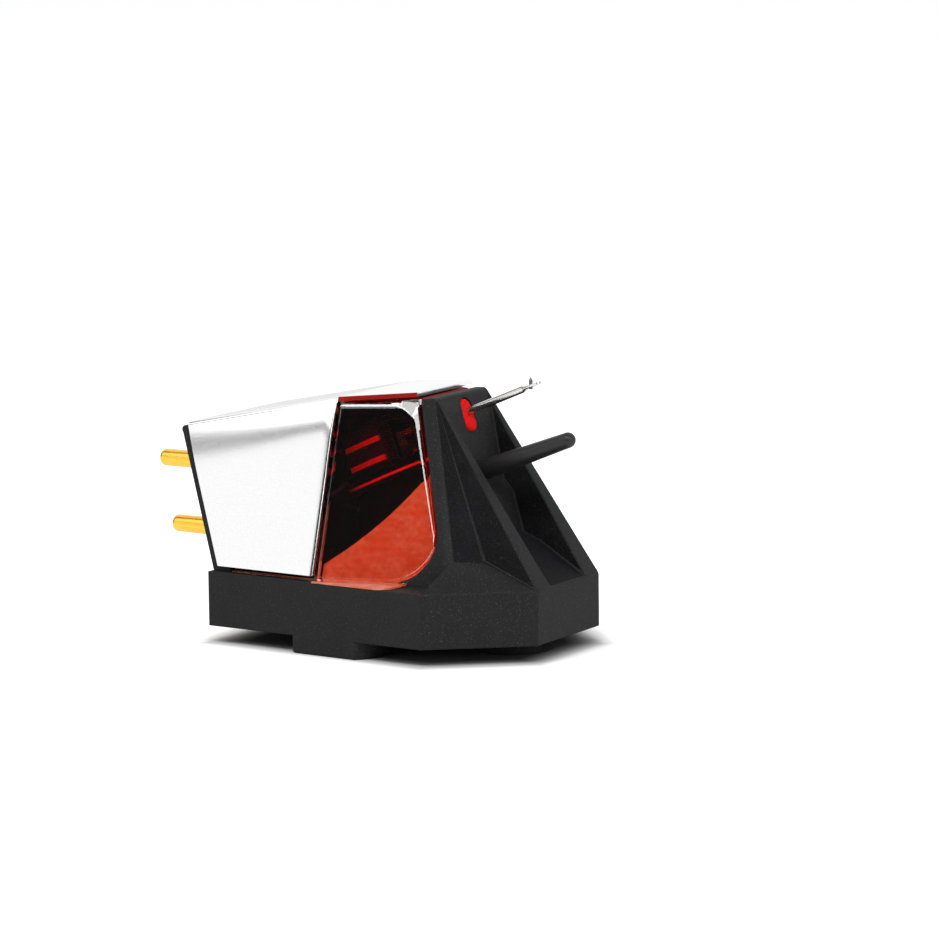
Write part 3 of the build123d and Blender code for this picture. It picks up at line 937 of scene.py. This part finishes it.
@dataclass
class Saddle(Assembly):
    """Folded steel sheet, whose flaps curve in towards the fold."""

    hull: Hull = field(default_factory=Hull)
    skin: float = 0.28
    roll_width: Span = (4.6, 2.4)
    roll_depth: Span = (0.285, 0.27)
    rear_x: float = -14.0
    roll_pitch: float = 0.38
    roll_steps: int = 13
    upright_pitch: float = 1.5
    upright_steps: int = 7
    rim_width: float = 0.7
    rim_depth: float = 0.11
    rim_steps: int = 5
    bend_angle: float = 30.0
    edge_match: float = 0.9
    crease_slack: float = 0.01

    def build(self) -> None:
        """Copy the sheet's solid, curve its flaps and dress it."""
        stock = Stock("steel_saddle")
        for side in Side:
            self.cut_flap(stock, side)
        for side in Side:
            self.roll_flap(stock, side)
        self.line_edges(stock)
        piece = stock.piece("saddle_sheet", self.bend_angle)
        self.swap(piece, "steel_saddle", Slot.POLISHED_STEEL, Body.SHELL, Slot.PAINTED_RED_LIGHT)

    def line_edges(self, stock: Stock) -> None:
        """Mark the front plate's side edges for painted red, which stands in for the red cover's reflection
        in them.

        Args:
            stock: The sheet's mesh.
        """
        for face in stock.mesh.faces:
            if face.calc_center_median().x < self.hull.crease_x * MM:
                continue
            if any(face.normal.dot(self.hull.facet_normal(side)) > self.edge_match for side in Side):
                face.material_index = SECOND_FINISH

    def along(self, span: Span, x: float) -> float:
        """Value at x, in millimetres, of one that runs from the flap's rear to its front."""
        part = (x - self.rear_x) / (self.hull.crease_x - self.rear_x)
        return span[0] + (span[1] - span[0]) * min(max(part, 0.0), 1.0)

    def cut_flap(self, stock: Stock, side: Side) -> None:
        """Cut lines into a flap, below the fold and beside its front edge.

        Args:
            stock: The sheet's mesh.
            side: The flap's side.
        """
        flap = self.hull.flap_normal(side)
        roof = self.hull.roof_normal(self.hull.rear_pitch)
        for step in range(1, self.roll_steps + 1):
            drop = self.roll_pitch * step * MM
            stock.cut(flap, self.hull.crease() - roof * drop, roof)
        rim_backs = [self.rim_width * step / self.rim_steps for step in range(1, self.rim_steps + 1)]
        backs = [self.rim_width + self.upright_pitch * step for step in range(1, self.upright_steps + 1)]
        for back in (*rim_backs, *backs):
            at = Vector((self.hull.crease_x - back, 0.0, 0.0)) * MM
            stock.cut(flap, at, Vector((1.0, 0.0, 0.0)))

    def roll_flap(self, stock: Stock, side: Side) -> None:
        """Sink a flap's outer face towards the fold and the front edge.

        Args:
            stock: The sheet's mesh.
            side: The flap's side.
        """
        flap = self.hull.flap_normal(side)
        roof = self.hull.roof_normal(self.hull.rear_pitch)
        front = (self.hull.crease_x + self.crease_slack) * MM
        for vert in stock.mesh.verts:
            under = (self.hull.foot(side) - vert.co).dot(flap)
            if vert.co.x > front or under > self.skin * MM:
                continue
            width = self.along(self.roll_width, vert.co.x / MM) * MM
            below = (self.hull.crease() - vert.co).dot(roof)
            behind = self.hull.crease_x * MM - vert.co.x
            depth = self.along(self.roll_depth, vert.co.x / MM) * MM * ease(1.0 - below / width)
            rim = self.rim_depth * MM * ease(1.0 - behind / (self.rim_width * MM))
            vert.co -= flap * min(depth + rim, self.skin * MM)


@dataclass
class Terminals(Assembly):
    """Rear plate with its four pins and their leads."""

    edge: float = 0.08
    lead_slots: tuple[Slot, ...] = (Slot.WHITE_LEAD, Slot.BLUE_LEAD, Slot.RED_LEAD, Slot.GREEN_LEAD)

    def build(self) -> None:
        """Round the plate's edges and dress the pins and leads."""
        stock = Stock("terminal_plate")
        stock.soften(self.edge)
        self.swap(stock.piece("rear_plate"), "terminal_plate", Slot.BLACK_PLASTIC, Body.SHELL)
        lines = [f"{side.name.lower()}_{kind}" for side in Side for kind in ("signal", "ground")]
        for line in lines:
            self.smooth(f"{line}_pin", f"{line}_pin_turned", Slot.GOLD_PLATE, Body.SHELL)
        for line, slot in zip(lines, self.lead_slots):
            self.keep(f"{line}_lead", slot)


@dataclass
class Suspension(Assembly):
    """Rubber bush with the cantilever, diamond, magnet and tie wire."""

    def build(self) -> None:
        """Dress the sprung parts."""
        self.smooth("suspension_bush", "rubber_plug", Slot.RED_RUBBER, Body.BUSH)
        self.smooth("cantilever", "cantilever_tube", Slot.CANTILEVER_ALLOY, Body.STYLUS)
        self.keep("stylus_tip", Slot.DIAMOND)
        self.keep("magnet", Slot.MAGNET_PLATING)
        self.keep("tie_wire", Slot.SPRING_STEEL)
        self.keep("wire_anchor", Slot.ANCHOR_BRASS)


@dataclass
class Generator(Assembly):
    """Two wound coils with their poles, on a carrier, and the filling at its foot."""

    origin: Triple = (-0.9485, 0.0, 13.0148)
    tilt: float = CANTILEVER_TILT
    offset: float = 2.0
    length: float = 3.6
    width: float = 1.8
    height: float = 2.7
    corner: float = 0.45
    turns: int = 18
    wire_sides: int = 8
    corner_steps: int = 4
    wire_angle: float = 60.0
    merge_gap: float = 0.001

    def build(self) -> None:
        """Wind the coils and dress the rest."""
        for side in Side:
            channel = side.name.lower()
            stock = Stock()
            self.wind(stock, side)
            wire = stock.piece(f"{channel}_wire", self.wire_angle, False)
            self.swap(wire, f"{channel}_winding", Slot.ENAMELLED_COPPER, Body.SHELL)
            self.keep(f"{channel}_bobbin", Slot.BOBBIN_PLASTIC)
            self.keep(f"{channel}_lower_pole", Slot.POLE_IRON)
            self.keep(f"{channel}_upper_pole", Slot.POLE_IRON)
        self.keep("generator_carrier", Slot.BOBBIN_PLASTIC)
        self.keep("corner_filling", Slot.PALE_RESIN)

    def wind(self, stock: Stock, side: Side) -> None:
        """Wind one coil as a stack of turns of wire.

        Args:
            stock: The mesh to wind it in.
            side: The coil's side.
        """
        mesh = stock.mesh
        radius = self.height / self.turns / 2 * MM
        bend = self.corner * MM - radius
        end_x = self.length / 2 * MM - radius - bend
        end_y = self.width / 2 * MM - radius - bend
        upright = Matrix.Rotation(pi / 2, 4, "Y")
        ring = bmesh.ops.create_circle(
            mesh, segments=self.wire_sides, radius=radius,
            matrix=Matrix.Translation((end_x, end_y + bend, 0.0)) @ upright,
        )
        edges = list({edge for vert in ring["verts"] for edge in vert.link_edges})
        runs = (
            (end_x, end_y, (0.0, -2 * end_y, 0.0)),
            (end_x, -end_y, (-2 * end_x, 0.0, 0.0)),
            (-end_x, -end_y, (0.0, 2 * end_y, 0.0)),
            (-end_x, end_y, (2 * end_x, 0.0, 0.0)),
        )
        for x, y, run in runs:
            swung = bmesh.ops.spin(
                mesh, geom=edges, cent=(x, y, 0.0), axis=(0.0, 0.0, -1.0), angle=pi / 2,
                steps=self.corner_steps, use_merge=False, use_duplicate=False,
            )
            edges = [item for item in swung["geom_last"] if isinstance(item, bmesh.types.BMEdge)]
            drawn = bmesh.ops.extrude_edge_only(mesh, edges=edges)["geom"]
            verts = [item for item in drawn if isinstance(item, bmesh.types.BMVert)]
            bmesh.ops.translate(mesh, verts=verts, vec=run)
            edges = [
                item for item in drawn
                if isinstance(item, bmesh.types.BMEdge) and len(item.link_faces) == 1
            ]
        bmesh.ops.remove_doubles(mesh, verts=mesh.verts, dist=self.merge_gap * MM)
        bmesh.ops.recalc_face_normals(mesh, faces=mesh.faces)
        first = [*mesh.verts, *mesh.edges, *mesh.faces]
        for turn in range(1, self.turns):
            copied = bmesh.ops.duplicate(mesh, geom=first)["geom"]
            verts = [item for item in copied if isinstance(item, bmesh.types.BMVert)]
            bmesh.ops.translate(mesh, verts=verts, vec=(0.0, 0.0, 2 * radius * turn))
        place = Matrix.Translation(Vector(self.origin) * MM)
        place @= Matrix.Rotation(-radians(self.tilt), 4, "Y")
        place @= Matrix.Translation((0.0, side.value * self.offset * MM, radius - self.height / 2 * MM))
        bmesh.ops.transform(mesh, matrix=place, verts=mesh.verts)


@dataclass
class Softbox:
    """A square of soft light that faces the object."""

    name: str
    azimuth: float
    elevation: float
    size: Span
    level: float
    distance: float = 0.42

    def build(self, centre: Vector) -> None:
        """Hang the light.

        Args:
            centre: The point that it faces, in metres.
        """
        lamp = bpy.data.lights.new(self.name, "AREA")
        lamp.shape = "RECTANGLE"
        lamp.size, lamp.size_y = self.size
        lamp.energy = pi * self.size[0] * self.size[1] * self.level
        holder = bpy.data.objects.new(self.name, lamp)
        bpy.context.scene.collection.objects.link(holder)
        holder.visible_camera = False
        turn, lift = radians(self.azimuth), radians(self.elevation)
        out = Vector((sin(turn) * cos(lift), -cos(turn) * cos(lift), sin(lift)))
        holder.location = centre + out * self.distance
        holder.rotation_euler = (-out).to_track_quat("-Z", "Y").to_euler()


@dataclass
class Studio:
    """Pale floor, soft lights, white surroundings and the camera."""

    centre: Triple = (-1.5, 0.0, 8.0)
    eye: Triple = (157.17, -234.92, 57.12)
    azimuth: float = 32.781
    elevation: float = 9.193
    roll: float = -0.59
    focal: float = 4200.06
    picture: float = 938.0
    sensor: float = 36.0
    clip: Span = (0.01, 10.0)
    floor_radius: float = 1.2
    floor_sides: int = 96
    floor_drop: float = 0.002
    paper: tuple[Colour, Colour] = ((0.80, 0.80, 0.80), (0.83, 0.83, 0.83))
    paper_pitch: float = 6.0
    paper_roughness: float = 0.9
    # Painted contact shadow: the paper's colour under the base.
    under_shade: Colour = (0.02, 0.02, 0.02)
    under_share: Span = (0.85, 0.0)
    under_span: Span = (-2.0, 0.5)
    floor_glow: float = 0.74
    mirror_glow: float = 0.35
    foot_rear: float = -9.6
    foot_nose: float = 13.7
    foot_half: float = 9.0
    foot_taper: float = 6.0
    # Painted shadow: the floor's glow fades in over this distance from the base's outline.
    nose_half: float = 3.95
    shade_span: Span = (0.0, 2.0)
    ambient: float = 0.28
    front_level: float = 0.03
    behind_span: Span = (-0.1, 0.3)
    lights: tuple[Softbox, ...] = (
        Softbox("left_card", -36.0, 10.5, (0.40, 0.145), 1.02),
        Softbox("left_gap", -36.0, 22.5, (0.40, 0.032), 0.36),
        Softbox("left_box", -32.0, 43.0, (0.46, 0.28), 1.4),
        Softbox("top_strip", 0.0, 53.0, (0.30, 0.09), 6.0),
        Softbox("corner_box", 42.0, 53.0, (0.22, 0.14), 4.5),
        Softbox("right_strip", 70.0, 30.0, (0.12, 0.34), 5.0),
    )

    def build(self) -> None:
        """Set up the floor, the lights, the surroundings and the camera."""
        self.lay_floor()
        for light in self.lights:
            light.build(Vector(self.centre) * MM)
        self.surround()
        self.place_camera()
        bpy.context.scene.view_settings.view_transform = "Standard"

    def seen(self, tree: bpy.types.NodeTree) -> tuple[Socket, Socket]:
        """Tell straight looks from mirrored ones.

        Args:
            tree: The nodes to add to.

        Returns:
            A value that is 1 for the camera's own rays and for light that reaches the inside of the cover,
            and one that is 1 for mirrored and bent looks.
        """
        path = tree.nodes.new("ShaderNodeLightPath").outputs
        inside = work(tree, "MINIMUM", path["Is Transmission Ray"], path["Diffuse Depth"])
        direct = work(tree, "MAXIMUM", path["Is Camera Ray"], inside)
        bent = work(tree, "MAXIMUM", path["Is Glossy Ray"], path["Is Transmission Ray"])
        return direct, bent

    def foot_distance(self, graph: Graph) -> Socket:
        """Distance in metres from the base's outline on the floor, negative inside it.

        Args:
            graph: The floor's nodes.

        Returns:
            The distance.
        """
        spot = graph.axes()
        middle = (self.foot_rear + self.foot_nose) / 2
        along = graph.math("ABSOLUTE", graph.math("SUBTRACT", spot["X"], middle * MM), 0.0)
        across = graph.math("ABSOLUTE", spot["Y"], 0.0)
        past_end = graph.math("SUBTRACT", along, (self.foot_nose - middle) * MM)
        past_side = graph.math("SUBTRACT", across, self.foot_half * MM)
        turn = atan2(self.foot_half - self.nose_half, self.foot_taper)
        reach = self.foot_nose * sin(turn) + self.nose_half * cos(turn)
        ahead = graph.math("MULTIPLY", spot["X"], sin(turn))
        aside = graph.math("MULTIPLY", across, cos(turn))
        past_nose = graph.math("SUBTRACT", graph.math("ADD", ahead, aside), reach * MM)
        return graph.math("MAXIMUM", graph.math("MAXIMUM", past_end, past_side), past_nose)

    def lay_floor(self) -> None:
        """Lay a round floor that keeps the shadow and glows to the camera, except under the base: painted
        shadow.
        """
        mesh = bmesh.new()
        bmesh.ops.create_circle(mesh, cap_ends=True, segments=self.floor_sides, radius=self.floor_radius)
        bmesh.ops.translate(mesh, verts=mesh.verts, vec=(0.0, 0.0, -self.floor_drop * MM))
        data = bpy.data.meshes.new("floor")
        mesh.to_mesh(data)
        mesh.free()
        floor = bpy.data.objects.new("floor", data)
        bpy.context.scene.collection.objects.link(floor)
        graph = Graph("floor_paper")
        paper = graph.ramp(graph.noise(self.paper_pitch), *self.paper)
        distance = self.foot_distance(graph)
        deep, edge = self.under_span
        painted_shadow_under = graph.spread(distance, self.under_share, (deep * MM, edge * MM))
        graph.feed("Base Color", graph.over(paper, self.under_shade, painted_shadow_under))
        graph.set("Roughness", self.paper_roughness)
        graph.set("Specular IOR Level", 0.0)
        graph.set("Emission Color", (1.0, 1.0, 1.0, 1.0))
        direct, mirrored = self.seen(graph.tree)
        near, far = self.shade_span
        # Painted shadow: no glow under the base, fading in just outside it.
        glow_outside_shadow = graph.spread(distance, (0.0, 1.0), (near * MM, far * MM))
        to_camera = graph.math("MULTIPLY", direct, self.floor_glow)
        to_mirrors = graph.math("MULTIPLY", mirrored, self.mirror_glow)
        glow = graph.math("MULTIPLY", graph.math("ADD", to_camera, to_mirrors), glow_outside_shadow)
        graph.feed("Emission Strength", glow)
        data.materials.append(graph.material)

    def surround(self) -> None:
        """Make the surroundings white to the camera, and white behind and dim in front to mirrors."""
        world = bpy.data.worlds.new("studio")
        bpy.context.scene.world = world
        world.use_nodes = True
        tree = world.node_tree
        tree.nodes.clear()
        direct, mirrored = self.seen(tree)
        white, soft, room = (tree.nodes.new("ShaderNodeBackground") for _ in range(3))
        for level in (white, soft, room):
            level.inputs["Color"].default_value = (1.0, 1.0, 1.0, 1.0)
        soft.inputs["Strength"].default_value = self.ambient
        way = tree.nodes.new("ShaderNodeTexCoord")
        parts = tree.nodes.new("ShaderNodeSeparateXYZ")
        behind = tree.nodes.new("ShaderNodeMapRange")
        behind.interpolation_type = "SMOOTHSTEP"
        levels = (*self.behind_span, self.front_level, 1.0)
        for name, level in zip(("From Min", "From Max", "To Min", "To Max"), levels):
            behind.inputs[name].default_value = level
        tree.links.new(way.outputs["Generated"], parts.inputs["Vector"])
        tree.links.new(parts.outputs["Y"], behind.inputs["Value"])
        tree.links.new(behind.outputs["Result"], room.inputs["Strength"])
        around = self.mix(tree, mirrored, soft.outputs[0], room.outputs[0])
        whole = self.mix(tree, direct, around, white.outputs[0])
        output = tree.nodes.new("ShaderNodeOutputWorld")
        tree.links.new(whole, output.inputs["Surface"])

    def mix(self, tree: bpy.types.NodeTree, share: Socket, first: Socket, second: Socket) -> Socket:
        """Mix two shaders.

        Args:
            tree: The nodes to add to.
            share: The second one's share.
            first: The first shader.
            second: The second shader.

        Returns:
            The mixed shader.
        """
        node = tree.nodes.new("ShaderNodeMixShader")
        tree.links.new(share, node.inputs["Fac"])
        tree.links.new(first, node.inputs[1])
        tree.links.new(second, node.inputs[2])
        return node.outputs[0]

    def place_camera(self) -> None:
        """Stand the camera where the picture was taken from."""
        lens = bpy.data.cameras.new("camera")
        lens.sensor_width = self.sensor
        lens.lens = self.focal / self.picture * self.sensor
        lens.clip_start, lens.clip_end = self.clip
        turn, lift, roll = radians(self.azimuth), radians(self.elevation), radians(self.roll)
        back = Vector((sin(turn) * cos(lift), -cos(turn) * cos(lift), sin(lift)))
        right = Vector((cos(turn), sin(turn), 0.0))
        up = back.cross(right)
        rolled_right = right * cos(roll) + up * sin(roll)
        rolled_up = up * cos(roll) - right * sin(roll)
        camera = bpy.data.objects.new("camera", lens)
        bpy.context.scene.collection.objects.link(camera)
        turned = Matrix((rolled_right, rolled_up, back)).transposed().to_4x4()
        camera.matrix_world = Matrix.Translation(Vector(self.eye) * MM) @ turned
        bpy.context.scene.camera = camera


def main() -> None:
    """Build the cartridge and its studio."""
    logging.basicConfig(level=logging.INFO, format="%(message)s")
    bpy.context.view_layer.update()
    palette = Palette()
    for kind in (Housing, Cover, Saddle, Terminals, Suspension, Generator):
        assembly = kind(palette)
        assembly.build()
        for piece in assembly.made:
            log.info("%s: %s", kind.__name__, piece.name)
    Studio().build()


if __name__ == "__main__":
    main()
